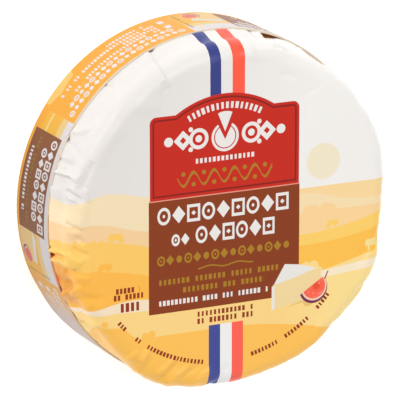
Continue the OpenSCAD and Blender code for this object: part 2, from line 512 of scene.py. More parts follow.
# Shallow waves: height, number round the pack, phase, and where across the card they are still.
CARD_WAVES = ((0.10, 7, 40, 0.3), (0.06, 17, 0, 0))
CARD_FREE = (4, 320, 30)    # dents start and end this far past the lap's start, and come in over the last
DENT_SHARE, WAVE_SHARE = 0.8, 0.5


def card_section():
    """Outline of the strip's cross-section: a rectangle with round corners, anticlockwise along the strip.

    Each point is an offset outwards and a height.  Part 0 is the printed outside, 1 a cut edge, 2 the inside.
    """
    half, e = CARD_T / 2, CARD_EDGE_R
    low, high = BAND_LOW + e, BAND_TOP - e
    up = np.concatenate([[low], np.linspace(low + e, high - e, CARD_ROWS), [high]])

    def corner(x, z, start):
        """Two points of a round corner."""
        return [(x + e * np.cos(t), z + e * np.sin(t)) for t in start + np.radians((30, 60))]

    outside = [(half, z) for z in up]
    top = corner(half - e, BAND_TOP - e, 0) + [(half - e, BAND_TOP), (e - half, BAND_TOP)]
    top += corner(e - half, BAND_TOP - e, np.pi / 2)
    inside = [(-half, z) for z in up[::-1]]
    bottom = corner(e - half, BAND_LOW + e, np.pi) + [(e - half, BAND_LOW), (half - e, BAND_LOW)]
    bottom += corner(half - e, BAND_LOW + e, np.pi * 1.5)
    parts = [0] * (len(outside) - 1) + [1] * (len(top) + 1)
    parts += [2] * (len(inside) - 1) + [1] * (len(bottom) + 1)
    return np.array(outside + top + inside + bottom), parts


def card_band():
    """The strip: its cross-section carried along the spiral strip_r, with bell-shaped dents and waves."""
    section, parts = card_section()
    t = np.arange(STRIP_END, LAP_AT - CARD_STEP / 2, -CARD_STEP)[:, None]
    off, z = section[:, 0][None], section[:, 1][None]
    height = (z - BAND_LOW) / (BAND_TOP - BAND_LOW)
    wave = sum(
        high * np.sin(np.radians(number * t + at)) * (height - still)
        for high, number, at, still in CARD_WAVES
    )
    dent = sum(
        deep * np.exp(-((turn(t, at) / wide) ** 2)) * (1 - height if back else height)
        for at, wide, deep, back in CARD_DENTS
    )
    free_from, free_to, ease = CARD_FREE
    free = smooth((t - LAP_AT - free_from) / ease) * smooth((LAP_AT + free_to - t) / ease)
    r = strip_r(t) + off - (dent - np.abs(wave) * WAVE_SHARE) * free * DENT_SHARE
    place = round_pack(t + 0 * r, r, z + 0 * r)
    along = np.stack([t + 0 * r, BAND_TOP - z + 0 * r], -1)
    which = np.tile(parts, len(t) - 1).tolist() + [1, 1]
    # The last number given to cut_card is the strength of a painted warm glow on the cut edges and the inside.
    edge = cut_card("card_edge", CUT_LOOK, 0.6, 0.03)
    materials = [printed_card(), edge, cut_card("card_inside", INSIDE_LOOK, 0.7, 0.12)]
    obj = lay_grid("card_band", place, along, "cap", materials, which)
    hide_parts("band")
    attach(obj, "root")


# ---- shader maths

EDGE = 0.12         # softness of a printed shape's edge
HILL_EDGE = 0.16    # and of a hill's


class Wire:
    """An output socket.  Sums on it add Math nodes, or Vector Math nodes when a vector is in them."""

    def __init__(self, net, socket):
        self.net = net
        self.socket = socket

    def step(self, operation, *others, out=0, clamp=False):
        return self.net.sum(operation, (self, *others), out, clamp)

    def __add__(self, other):
        return self.step("ADD", other)

    __radd__ = __add__

    def __sub__(self, other):
        return self.step("SUBTRACT", other)

    def __rsub__(self, other):
        return self.net.sum("SUBTRACT", (other, self))

    def __mul__(self, other):
        return self.step("MULTIPLY", other)

    __rmul__ = __mul__

    def __mod__(self, other):
        return self.step("FLOORED_MODULO", other)

    def __pow__(self, other):
        return self.step("POWER", other)

    def __neg__(self):
        return self.step("MULTIPLY", -1)

    def __abs__(self):
        return self.step("ABSOLUTE")

    def scaled(self, factor, shift):
        return self.step("MULTIPLY_ADD", factor, shift)

    def sin(self):
        return self.step("SINE")

    def fract(self):
        return self.step("FRACT")

    def least(self, other):
        return self.step("MINIMUM", other)

    def most(self, other):
        return self.step("MAXIMUM", other)

    def near(self, middle, reach):
        """1 where the value is within reach of middle."""
        return self.step("COMPARE", middle, reach)

    def span(self, low, high):
        """1 where the value is between low and high."""
        return self.near((low + high) / 2, (high - low) / 2)

    def over(self, limit):
        return self.step("GREATER_THAN", limit)

    def under(self, limit):
        return self.step("LESS_THAN", limit)

    def rise(self, start, length):
        """Rises from 0 at start to 1 a length further on."""
        return (self - start).step("MULTIPLY", 1 / length, clamp=True)

    def fall(self, length, end):
        """Falls from 1 to 0 over the length before end."""
        return (end - self).step("MULTIPLY", 1 / length, clamp=True)

    def within(self, edge=EDGE):
        """1 where a signed distance in mm is below 0, with a soft edge."""
        return self.step("MULTIPLY_ADD", -1 / edge, 0.5, clamp=True)

    def gap_to(self, x, y):
        return self.step("DISTANCE", (x, y, 0), out=1)

    def disc(self, x, y, r, edge=EDGE):
        """1 inside a circle of radius r round x, y."""
        return (self.gap_to(x, y) - r).within(edge)

    def dot(self, x, y):
        return self.step("DOT_PRODUCT", (x, y, 0), out=1)


class Net:
    """The nodes of one material, and the light and gloss that turn its colours into looks."""

    def __init__(self, name, light=FACE_LIGHT, sheen=PAPER_SHEEN):
        self.light, self.sheen = light, sheen
        self.material = bpy.data.materials.new(name)
        self.material.use_nodes = True
        self.tree = self.material.node_tree
        self.tree.nodes.clear()

    def add(self, kind, settings=None, sockets=None, out=0):
        """A node of a kind with its settings, then the values or wires of its sockets; gives a wire."""
        node = self.tree.nodes.new(kind)
        for name, value in (settings or {}).items():
            setattr(node, name, value)
        for name, value in (sockets or {}).items():
            socket = node.inputs[name]
            if isinstance(value, Wire):
                self.tree.links.new(value.socket, socket)
            elif socket.type == "VECTOR" and isinstance(value, (int, float)):
                socket.default_value = (value, value, value)
            else:
                socket.default_value = value
        return Wire(self, node.outputs[out]) if len(node.outputs) else None

    def sum(self, operation, values, out=0, clamp=False):
        """A Math node on some values, or a Vector Math node when one of them is a vector."""
        vector = any(isinstance(value, Wire) and value.socket.type == "VECTOR" for value in values)
        settings = {"operation": operation}
        if clamp:
            settings["use_clamp"] = True
        kind = "ShaderNodeVectorMath" if vector else "ShaderNodeMath"
        return self.add(kind, settings, dict(enumerate(values)), out)

    def paint(self, colour):
        """Linear colour for a look given from 0 to 255; a wire or a linear colour stays as it is."""
        if isinstance(colour, Wire) or len(colour) == 4:
            return colour
        shown = np.array(colour) / 255
        linear = np.where(shown > 0.04045, ((shown + 0.055) / 1.055) ** 2.4, shown / 12.92)
        return (*np.clip((linear - self.sheen) / self.light, 0.002, 0.95), 1)

    def blend(self, mask, under, over):
        """Colour under, covered by colour over where the mask is 1."""
        sockets = {0: mask, 6: self.paint(under), 7: self.paint(over)}
        return self.add("ShaderNodeMix", {"data_type": "RGBA"}, sockets, 2)

    def lay(self, colour, *inks):
        """A colour with some inks laid over it in turn; each is its mask, then its colour."""
        for mask, ink in inks:
            colour = self.blend(mask, colour, ink)
        return colour

    def noise(self, where, scale, detail=2, rough=0.5):
        sockets = {"Vector": where, "Scale": scale, "Detail": detail, "Roughness": rough}
        return self.add("ShaderNodeTexNoise", {}, sockets)

    def object_place(self):
        return self.add("ShaderNodeTexCoord", {}, {}, 3)

    def bump(self, strength, distance, height):
        sockets = {"Strength": strength, "Distance": distance, "Height": height}
        return self.add("ShaderNodeBump", {}, sockets)

    def print_place(self):
        """Print coordinates in mm as one vector, and its x and y."""
        spot = self.add("ShaderNodeUVMap", {"uv_map": "print"}) * PRINT_UNIT
        x = self.add("ShaderNodeSeparateXYZ", {}, {0: spot})
        return spot, x, Wire(self, x.socket.node.outputs[1])

    def finish(self, colour, roughness, gloss=0.3, **sockets):
        """A shader of that colour and roughness; gloss is its specular level."""
        sockets = {"Base Color": colour, "Roughness": roughness, "Specular IOR Level": gloss, **sockets}
        shader = self.add("ShaderNodeBsdfPrincipled", {}, sockets)
        self.add("ShaderNodeOutputMaterial", {}, {"Surface": shader})
        return self.material


# Lines of small blocks: half a block's least and further share of the pitch, and the share left out.
BLOCK_LEAST, BLOCK_MORE, BLOCK_MISSING = 0.2, 0.16, 0.12
SEEDS_APART = 40    # blocks between one seed's line and the next
BOLD_WALL = 0.7     # wall over which a frieze's third figure is a frame and not a disc


def line_of_blocks(net, x, y, place, pitch, seed):
    """A line of small blocks of seeded widths with gaps between groups, as plain stand-in for small print.

    place is its left, right, low and high in mm.
    """
    left, right, low, high = place
    along = x.scaled(1 / pitch, SEEDS_APART * seed - left / pitch)
    number = along.step("FLOOR")
    chance = net.add("ShaderNodeTexWhiteNoise", {"noise_dimensions": "1D"}, {"W": number})
    blocks = along.fract().near(0.5, chance.scaled(BLOCK_MORE, BLOCK_LEAST)) * y.span(low, high)
    return blocks * x.span(left, right) * chance.over(BLOCK_MISSING)


def frieze(x, y, place, count, wall):
    """A row of plain figures from place's left to right: a ring round a dot, a lozenge, a frame or disc.

    Each figure is a distance from its middle, squeezed to its width and cut off at the wall.
    """
    left, right, low, high = place
    pitch = (right - left) / count
    half = (high - low) / 2
    across = abs((x.scaled(1 / (3 * pitch), -left / (3 * pitch)).fract() - 1 / 6) * (3 * pitch))
    up = abs(y - (low + half))
    wide = min(pitch * 0.44, half)
    from_middle = (across * across * (half / wide) ** 2 + up * up) ** 0.5
    ring = abs(from_middle - (half - wall / 2)).under(wall / 2)
    figures = ring.most(from_middle.under(wall * 0.55))
    figures = figures.most((abs(across - pitch) * (1 / wide) + up * (1 / half)).under(1))
    across = abs(across - 2 * pitch)
    if wall > BOLD_WALL:
        last = abs((across * (half / wide)).most(up) - (half - wall / 2)).under(wall / 2)
        last = last.most((across + up).under(wall * 0.8))
    else:
        last = ((across * (half / wide)) ** 2 + up * up).under((0.7 * half) ** 2)
    return figures.most(last) * x.span(left, right)


def any_of(first, *masks):
    """1 where any of some masks is 1."""
    for mask in masks:
        first = first.most(mask)
    return first


def polygon(spot, *corners):
    """1 inside a convex polygon, given anticlockwise: the product of its half planes."""
    mask = None
    for (x0, y0), (x1, y1) in zip(corners, corners[1:] + corners[:1]):
        size = np.hypot(x1 - x0, y1 - y0)
        out_x, out_y = (y1 - y0) / size, (x0 - x1) / size
        side = (spot.dot(out_x, out_y) - (out_x * x0 + out_y * y0)).within()
        mask = side if mask is None else mask * side
    return mask


# ---- print on the wrapper

# Colours as they look on the printed face, from 0 to 255.
# SKY_PAINTED_SHADE is the sky with painted shade, for the face's upper left where it gets less light.
SKY, SKY_PAINTED_SHADE, SUN = (243, 240, 236), (228, 223, 219), (243, 231, 203)
PALE, PEACH, YELLOW, ORANGE = (244, 223, 184), (246, 208, 157), (252, 203, 107), (254, 188, 84)
CREAM, LIGHT = (247, 226, 195), (252, 214, 137)
RIGHT_PEACH, RIGHT_PALE, RIGHT_PEACH_LOW = (250, 217, 159), (247, 223, 177), (251, 213, 155)
RIGHT_YELLOW, RIGHT_ORANGE, RIGHT_LIGHT = (254, 209, 108), (255, 195, 85), (253, 220, 144)
RIGHT_CREAM, FIELD, FAR_COW = (250, 233, 203), (254, 224, 150), (250, 225, 150)
FRONT_ORANGE = (255, 195, 93)
RED, RED_DEEP, BROWN, PANEL_RIM = (200, 52, 40), (135, 44, 32), (140, 68, 35), (232, 150, 130)
WHITE, GOLD, INK = (236, 232, 228), (172, 128, 48), (150, 62, 34)
BLUE, STRIPE_RED = (66, 73, 136), (255, 98, 77)
# Lighter copies of the stripe inks for the lower stripes: painted light for the brighter bottom of the face.
LOWER_LIT_WHITE, LOWER_LIT_BLUE, LOWER_LIT_RED = (242, 240, 237), (75, 83, 152), (255, 104, 87)
RIND, PASTE, PASTE_DEEP = (235, 231, 226), (243, 216, 160), (236, 196, 120)
FIG_SKIN, FIG_PITH, FIG_FLESH = (122, 56, 84), (241, 208, 184), (253, 106, 84)
FIG_CORE, FIG_SEED, FIG_STALK = (238, 84, 60), (254, 150, 128), (160, 96, 80)
# FOLD_PAINTED_SHADE is painted shade for the paper beside the deep fold at the left.
FOLD_PAINTED_SHADE = (224, 146, 58)

# Stripes: left, right and colour.  The upper ones run up from UPPER_FROM, the lower ones down from LOWER_FROM.
UPPER_STRIPES = ((-6.7, -3.3, BLUE), (0.3, 4.2, STRIPE_RED))
LOWER_STRIPES = ((-3.6, 0.3, LOWER_LIT_WHITE), (-7.1, -3.5, LOWER_LIT_BLUE), (0.2, 3.8, LOWER_LIT_RED))
UPPER_FROM, LOWER_FROM = 25, -31.8
LABEL_MID = -2                         # middle of the label, and of the print that follows the rim
ARCH_Y, ARCH_R = 8.2, 27.8             # height of the middle, and radius, of the label's arched top
LABEL = (-25.5, 21.5, 7.0, 31.3)       # left, right, low and shoulder of the red label
PANEL = (-25.9, 21.7, -26.3, 6.75)     # brown panel below it
ARCH_PRINT_R, EDGE_PRINT_R = 24.5, 43  # radii of the small print under the arch and along the rim
WHEEL_Y = 23.4                         # middle of the emblem
FIG_X, FIG_Y = 26.4, -25.1             # middle of the cut fruit

# Dark small print.  In rows: left, right, low and high, then pitch and seed.  Along the rim: first and last
# degree and seed.
DARK_ROWS = (
    ((-11, 7, -28.7, -27.2), 1.3, 11), ((-11, 7, -30.9, -29.3), 1.3, 12),
    ((-36.3, -28.8, -18.8, -17.2), 1.2, 13), ((-37, -27.7, -20.7, -19.1), 1.2, 14),
    ((-35, -28.7, -24.3, -21.7), 1.6, 15),
)
RIM_ROWS = ((-131, -99, 16), (-79, -39, 17), (-141, -136.5, 18))
# Painted shade beside the deep fold at the left: distance from the middle, height, half height, and strength.
TUCK_R, TUCK_Y, TUCK_HALF, TUCK_DEEP = 52.5, -18.2, 6.4, 0.55
# Painted warm glow and shade in lines along the card's edge: distance from the middle, low, high and colour.
EDGE_GLOW_AND_SHADE = ((59.3, -27, -9.5, (238, 112, 58)), (59.75, -9.5, 4, (196, 124, 80)))


def hills(net, y, sky, steps):
    """Colour fields one below the other: each step is the height of a boundary, then the colour below it."""
    return net.lay(sky, *(((y - height).within(HILL_EDGE), below) for height, below in steps))


def bow(off, bend):
    """A parabola: the square of a distance off its middle, times its bend."""
    return off * off * bend


def bushes(x, high, pitch, left, right):
    """Round bushes along a hill line: half waves between two places."""
    uneven = (x * 2.3).sin().scaled(0.35, 0.65)
    return abs((x * (np.pi / pitch)).sin()) * uneven * x.span(left, right) * high


def trees(net, spot, colour, ink, places):
    """Round treetops in one colour; places holds x, y and radius of each."""
    return net.lay(colour, *((spot.disc(*place), ink) for place in places))


def cow(spot, x, y, at_x, at_y, size, way):
    """1 inside a grazing cow of a size: a rounded body, two pairs of legs and a low head.

    way is 1 when it faces right and -1 when it faces left.
    """
    body = x.near(at_x, 1.45 * size) * y.near(at_y + 0.3 * size, 0.85 * size)
    rump = spot.disc(at_x - 1.2 * size * way, at_y + 0.2 * size, size)
    legs = abs(abs(x - at_x) - 1.05 * size).under(0.28 * size) * y.near(at_y - size, 0.75 * size)
    head = spot.disc(at_x + 1.75 * size * way, at_y - 0.75 * size, 0.55 * size)
    neck = x.near(at_x + 1.5 * size * way, 0.35 * size) * y.near(at_y - 0.1 * size, 0.7 * size)
    return any_of(body, rump, legs, head, neck)


def left_hills(net, spot, x, y, sky):
    """Fields left of the label: two waves, then parabolas, the nearer ones with bushes and cows."""
    haze = x.scaled(0.2417, 10.755).sin().scaled(1.1, 9.7)
    far = (x.most(-46).scaled(0.16, 7.04) + np.pi / 2).sin().scaled(1.9, 0.4)
    near = bow(x + 47, -0.0075) - 2.8 + bushes(x, 1.1, 1.9, -49.5, -38)
    front = bow(x + 48, -0.0068) - 11.3 + bushes(x, 0.5, 2.1, -44, -40.8)
    path = bow(x + 31, -0.0148) - 21.2
    meadow = bow((x + 36).least(0), -0.02) - 24.4 + (x + 36).most(0) * -0.05
    colour = hills(net, y, sky, (
        (haze, PALE), (far, PEACH), (near, YELLOW), (front, ORANGE), (path, CREAM), (meadow, LIGHT),
    ))
    far_cow, near_cow = cow(spot, x, y, -36.1, -2.2, 1.15, 1), cow(spot, x, y, -39.6, -10.6, 1.1, -1)
    return net.lay(colour, (far_cow, YELLOW), (near_cow, ORANGE))


def right_hills(net, spot, x, y, sky):
    """Fields right of the label, below a pale sun: a bell, parabolas and slopes, with trees and cows."""
    pale = bow((x - 23).most(0), -0.0083).step("EXPONENT") * 3.7
    near = bow(x - 22, 0.0062) - 8.6
    front = bow(x - 22, 0.0045) - 11.9
    light, path, field = x.scaled(0.235, -26.95), x.scaled(0.107, -23.31), x.scaled(0.08, -24.6)
    colour = net.blend(spot.disc(29.4, 12.5, 5.35, 0.3), sky, SUN)
    colour = hills(net, y, colour, ((5.2, RIGHT_PEACH), (pale, RIGHT_PALE), (-2.2, RIGHT_PEACH_LOW)))
    far_trees = (24.6, -1.9, 1.8), (26.4, -2, 1.9), (30.2, -1.9, 2), (32, -2.2, 1.9)
    colour = trees(net, spot, colour, RIGHT_PEACH_LOW, far_trees)
    colour = hills(net, y, colour, ((near, RIGHT_YELLOW), (front, RIGHT_ORANGE), (light, RIGHT_LIGHT)))
    near_trees = (24, -18.2, 1.3), (26.4, -18.5, 1.7), (28.2, -20, 1.2)
    colour = trees(net, spot, colour, RIGHT_LIGHT, near_trees)
    colour = net.blend(cow(spot, x, y, 45.8, -14.0, 1.2, 1), colour, FAR_COW)
    colour = hills(net, y, colour, ((path, RIGHT_CREAM),))
    grass = net.blend(x.step("MULTIPLY_ADD", 0.05, -0.75, clamp=True), LIGHT, FIELD)
    colour = net.blend((y - field).within(HILL_EDGE), colour, grass)
    return net.blend(cow(spot, x, y, 32.4, -6.4, 0.9, -1), colour, RIGHT_YELLOW)


def front_hill(net, spot, x, y, colour):
    """The orange field along the bottom: a ramp down to it and a parabola to each side, with a few trees."""
    ramp = x.scaled(1 / 4.4, 7.75).step("SMOOTH_MAX", 0, 0.1).least(1)
    height = bow((x + 40.5).least(0), -0.3) - ramp * 4.1 - 28.8 - bow((x + 5).most(0), 0.0036)
    colour = net.blend((y - height).within(HILL_EDGE), colour, FRONT_ORANGE)
    return trees(net, spot, colour, FRONT_ORANGE, ((-39.5, -27.6, 0.95), (-27, -32.4, 1.2), (-25, -32, 1.1)))


def stripes(net, x, y, colour):
    """Upright stripes: blue and red over the sky above the label, and white, blue and red below it, in lighter
    copies of the inks that are painted light for the brighter bottom of the face.
    """
    below, above = y.under(LOWER_FROM), y.over(UPPER_FROM)
    colour = net.lay(colour, *((x.span(left, right) * below, ink) for left, right, ink in LOWER_STRIPES))
    return net.lay(colour, *((x.span(left, right) * above, ink) for left, right, ink in UPPER_STRIPES))


def label_shape(spot, y, inset):
    """1 inside the red label drawn in by inset: a rectangle with round corners and the arch's circle."""
    left, right, low, shoulder = LABEL
    left, right, low, shoulder = left + inset, right - inset, low + inset, shoulder - inset
    corner = max(2 - inset, 0.6)
    half = ((right - left) / 2 - corner, shoulder / 2 - corner, 0)
    off = abs(spot - ((left + right) / 2, shoulder / 2, 0)) - half
    block = off.most((0, 0, 0)).step("LENGTH", out=1) - corner
    arch = (spot.gap_to(LABEL_MID, ARCH_Y) - (ARCH_R - inset)).most(shoulder - 1 - y)
    return block.least(arch).within() * (low - y).within()


def cut_wheel(spot, x, y):
    """The label's plain emblem: a round cheese from above with one slice drawn out upwards."""
    across = abs(x - LABEL_MID)
    slot = (across - (y - 22.6) * 0.5).within()
    wheel = spot.disc(LABEL_MID, WHEEL_Y, 4.3) * (1 - slot)
    slice_out = (across - (y - 24.9) * 0.42).within() * spot.disc(LABEL_MID, 24.9, 5.9)
    rim = abs(spot.gap_to(LABEL_MID, WHEEL_Y) - 3.35).under(0.16)
    return (wheel - rim * wheel).most(slice_out)


def side_figures(x, y):
    """Figures beside the emblem, mirrored about it: a ring round a dot, an open lozenge, and three dots."""
    out = abs(x - LABEL_MID)
    up = y - 23.7
    from_ring = (out - 8.3) ** 2 + up * up
    ring = abs(from_ring ** 0.5 - 2.5).under(0.55)
    from_lozenge = abs(out - 13.2) + abs(up)
    lozenge = from_lozenge.under(2.9) - from_lozenge.under(1.0)
    dot = ((out - 17.7) ** 2 + up * up).under(1.9)
    small_dots = ((out - 10.8) ** 2 + (abs(up) - 2.9) ** 2).under(0.5)
    return any_of(ring, lozenge, dot, small_dots, from_ring.under(1.1))


def gold_scroll(x, y):
    """A running vine: one wave, thicker where it rises, with a berry inside each bend."""
    turns = x * 0.98 + 0.6
    up = y - 12.2
    vine = abs(up - turns.sin() * 1.9).under((turns + 1.2).sin().scaled(0.16, 0.46))
    across = ((turns * (1 / np.pi)).fract() - 0.5) * (np.pi / 0.98)
    berries = (across * across + (abs(up) - 1.6) ** 2).under(0.42) * (up * turns.sin()).under(0)
    return vine.most(berries) * x.span(-17, 12.9)


def red_label(net, spot, x, y, colour):
    """The red label with its deep red line, the emblem and its figures, small print and the vine."""
    border = label_shape(spot, y, 0.85) - label_shape(spot, y, 1.35)
    around = spot.gap_to(LABEL_MID, ARCH_Y)
    turned = (x - LABEL_MID).step("ARCTAN2", y - ARCH_Y) * ARCH_PRINT_R
    white = any_of(
        cut_wheel(spot, x, y), side_figures(x, y),
        line_of_blocks(net, turned, around, (-12.5, 13, 23.4, 25.3), 1.55, 1),
        line_of_blocks(net, x, y, (-11.5, 7.5, 16.5, 17.9), 1.35, 2),
    )
    inks = (label_shape(spot, y, 0), RED), (border, RED_DEEP), (white, WHITE), (gold_scroll(x, y), GOLD)
    return net.lay(colour, *inks)


def brown_panel(net, x, y, colour):
    """The brown panel: rows of white and gold figures, lines of small blocks and a waved rule."""
    left, right, low, high = PANEL
    across = x.span(left, right)
    white = any_of(
        frieze(x, y, (-23.5, 18.5, -0.3, 4.8), 9, 0.9),
        frieze(x, y, (-11.5, 14, -7, -2), 6, 0.9),
        frieze(x, y, (-19, -13, -6.9, -3.4), 2, 0.8),
        line_of_blocks(net, x, y, (-23, 12, -24.1, -22.6), 1.25, 6),
    )
    gold = any_of(
        frieze(x, y, (-23.5, 19, -12.3, -9.3), 15, 0.62),
        line_of_blocks(net, x, y, (-23, 15, -18, -16.4), 1.42, 8),
        line_of_blocks(net, x, y, (-15.5, 10.5, -20.9, -19.3), 1.42, 9),
        abs(y - (x * 0.7).sin() * 0.35 + 14.2).under(0.2) * x.span(-10.5, 7),
    )
    panel = (across * y.span(low, high), BROWN), (across * y.span(6.7, 7.05), PANEL_RIM)
    return net.lay(colour, *panel, (white, WHITE), (gold, GOLD))


def cheese_wedge(net, spot, colour):
    """A cut wedge with a white rind on top and its pale inside below, on an orange line."""
    foot = (13.3, -30.4), (23, -28.9), (29.2, -27.4), (28.8, -26.6), (23, -28.2), (13.3, -29.8)
    side = (13.3, -29.9), (23, -28.3), (28.8, -26.8), (28.8, -19.1), (20, -20.9), (13.3, -22.6)
    top = (13.3, -23.1), (20, -21.2), (28.4, -19.4), (22, -17.4), (17.2, -16.7)
    end = (13.0, -30), (13.9, -29.9), (13.9, -23), (13.0, -23)
    rind = polygon(spot, *top).most(polygon(spot, *end))
    return net.lay(colour, (polygon(spot, *foot), PASTE_DEEP), (polygon(spot, *side), PASTE), (rind, RIND))


def cut_fig(net, spot, colour):
    """A halved fruit: a dark skin along its round edge, a pale ring, and a red middle with seeds."""
    cut = (spot.dot(-0.534, 0.846) + 34.3).within()
    cells = net.add("ShaderNodeTexVoronoi", {}, {"Vector": spot, "Scale": 1.05})
    seeds = cells.under(0.34) * spot.disc(FIG_X + 0.4, FIG_Y + 0.3, 3.1) * cut
    stalk = polygon(spot, (29.7, -22.9), (30.3, -22.7), (31.3, -20.4), (30.9, -20.4))
    return net.lay(
        colour,
        (spot.disc(24.6, -28.8, 1.6), PASTE_DEEP),
        (spot.disc(FIG_X, FIG_Y, 4.5) * cut, FIG_SKIN),
        (spot.disc(FIG_X + 0.2, FIG_Y + 0.4, 4.1) * cut, FIG_PITH),
        (spot.disc(FIG_X + 0.2, FIG_Y + 0.5, 3.6) * cut, FIG_FLESH),
        (spot.disc(FIG_X + 1, FIG_Y + 0.5, 1.1, 0.8) * cut, FIG_CORE),
        (seeds * 0.75, FIG_SEED),
        (stalk, FIG_STALK),
    )


def dark_print(net, spot, x, y):
    """Brown small print as lines of blocks: beside and below the label, and along the rim."""
    ink = any_of(*(line_of_blocks(net, x, y, *row) for row in DARK_ROWS))
    around = spot.gap_to(LABEL_MID, 0)
    turned = y.step("ARCTAN2", x - LABEL_MID) * EDGE_PRINT_R
    low, high = EDGE_PRINT_R - 0.65, EDGE_PRINT_R + 0.65
    for first, last, seed in RIM_ROWS:
        ends = np.radians((first, last)) * EDGE_PRINT_R
        ink = ink.most(line_of_blocks(net, turned, around, (*ends, low, high), 1.15, seed))
    return ink


def painted_left_shade(net, spot, x, y, colour):
    """Painted shade: a soft warm patch beside the deep fold at the left, and painted warm glow and shade in
    lines along the card's edge.
    """
    left, from_middle = x.under(0), spot.gap_to(0, 0)
    # Painted shade of the fold, and painted warm glow and shade along the card's edge.
    fold_shade = (TUCK_R - from_middle).within(3) * (abs(y - TUCK_Y) - TUCK_HALF).within(1.6) * left
    lines = ((from_middle.over(r) * y.span(low, high) * left, ink) for r, low, high, ink in EDGE_GLOW_AND_SHADE)
    return net.lay(colour, (fold_shade * TUCK_DEEP, FOLD_PAINTED_SHADE), *lines)


def wrapper_print(net):
    """The whole print of the wrapper, from the sky down to the pictures, with painted shade on the sky and at
    the left, and painted glow along the card's edge.
    """
    spot, x, y = net.print_place()
    # Painted shade: the sky darkens towards the upper left of the face.
    shade = spot.dot(-0.018, 0.0064).step("ADD", 0.27, clamp=True)
    sky = net.blend(shade, SKY, SKY_PAINTED_SHADE)
    left, right = left_hills(net, spot, x, y, sky), right_hills(net, spot, x, y, sky)
    colour = net.blend(x.over(LABEL_MID), left, right)
    colour = front_hill(net, spot, x, y, colour)
    colour = painted_left_shade(net, spot, x, y, colour)
    colour = net.blend(dark_print(net, spot, x, y), colour, INK)
    colour = stripes(net, x, y, colour)
    colour = red_label(net, spot, x, y, colour)
    colour = brown_panel(net, x, y, colour)
    colour = cheese_wedge(net, spot, colour)
    return cut_fig(net, spot, colour)


# Fine relief of the paper: cells per metre, width and height of their creases, then ripples and their height.
CRUMPLES, CRUMPLE_WIDE, CRUMPLE_HIGH = 160, 0.14, 2.2
RIPPLES, RIPPLE_HIGH = 260, 0.35
RELIEF_STRENGTH, RELIEF_DEEP = 0.12, 0.0004
PAPER_ROUGH, CARD_ROUGH, CARD_GLOSS = 0.36, 0.34, 0.1


def printed_paper():
    """Foil-backed paper with a soft gloss, its print, and the fine creases of a folded sheet."""
    net = Net("printed_paper")
    place = net.object_place()
    cells = {"Vector": place, "Scale": CRUMPLES}
    crumple = net.add("ShaderNodeTexVoronoi", {"feature": "DISTANCE_TO_EDGE"}, cells)
    ripple = net.noise(place, RIPPLES, 3, 0.6)
    height = crumple.least(CRUMPLE_WIDE) * CRUMPLE_HIGH + ripple * RIPPLE_HIGH
    return net.finish(wrapper_print(net), PAPER_ROUGH, Normal=net.bump(RELIEF_STRENGTH, RELIEF_DEEP, height))


# ---- print on the card

CARD_MM = np.pi * 52 / 180      # mm along the card for each degree
PATTERN = 104.7 * CARD_MM       # length after which the print repeats
PATTERN_START = 95.8 * CARD_MM

CARD_ORANGE, CARD_SKY, CARD_PALE = (255, 182, 72), (236, 230, 232), (247, 212, 144)
CARD_YELLOW, CARD_CREAM, CARD_LIGHT = (253, 193, 76), (252, 220, 150), (255, 212, 120)
CARD_BROWN, CARD_WHITE, CARD_GOLD = (150, 94, 62), (244, 238, 238), (150, 122, 44)
# CARD_SHADE_SHEEN is a painted pale grey of shade and sheen for the lower left of the card.
CARD_INK, CARD_FLESH, CARD_SHADE_SHEEN = (120, 96, 84), (240, 122, 102), (206, 190, 186)

# Where each field of the pattern starts, in degrees, and where the brown panel runs from the front edge.
STRIP_AT, BROWN_AT, SCENE_AT = 50.5, 56.7, 89
BROWN_DOWN = (2, 19.5)
# Heights of the boundaries below the sky, as distances from the front edge, and the colour below each.
STRIP_HILLS = (
    (-3.5, CARD_PALE), (-7, CARD_YELLOW), (-13, CARD_CREAM), (-14, CARD_YELLOW), (-17, CARD_ORANGE),
)
SCENE_HILLS = ((-5.6, CARD_PALE), (-8.5, CARD_YELLOW), (-19.5, CARD_ORANGE))
CARD_FIG = ((0, 2.7, FIG_SKIN), (0.28, 2.55, FIG_PITH), (0.42, 2.2, CARD_FLESH))  # shift, radius, colour
LIGHT_HILL = ((36, 21.2), (37, 18), (44, 16.6), (49, 18.6), (49, 21.2))
# Rows of figures: first and last degree, near and far in mm, number of figures and their wall.
BOLD_ROWS = (
    (1.7, 49.2, 2.6, 5.3, 19, 0.6), (4.2, 46.7, 5.9, 8.6, 17, 0.6),
    (57.7, 88.2, 3.1, 6.9, 9, 0.8), (61.2, 85.2, 7.6, 10.9, 7, 0.75),
)
# Lines of small blocks: first and last degree, near and far in mm.
SMALL_ROWS = (
    (7.2, 41.7, 9.4, 11.0), (7.2, 20.7, 11.7, 13.2), (7.2, 45.2, 14.0, 15.6), (7.2, 23.2, 16.6, 18.1),
    (62.2, 83.2, 16.2, 17.7),
)
# Painted shade down the left side, and lower down a painted pale grey of shade and sheen, in degrees round
# the card: where each starts, the length that it comes in over, and its strength.  Both fade out again before
# SHADE_END.
DARK_FROM, DARK_OVER, DARK_MOST = 145, 25, 0.2
SHEEN_SHADE_FROM, SHEEN_SHADE_OVER, SHEEN_SHADE_MOST = 205, 12, 0.85
SHADE_END, SHADE_OUT = 256, 22


def card_row(first, last, near, far):
    """Place of a row on the card from two angles into the pattern and two distances from the front edge."""
    return first * CARD_MM, last * CARD_MM, near, far


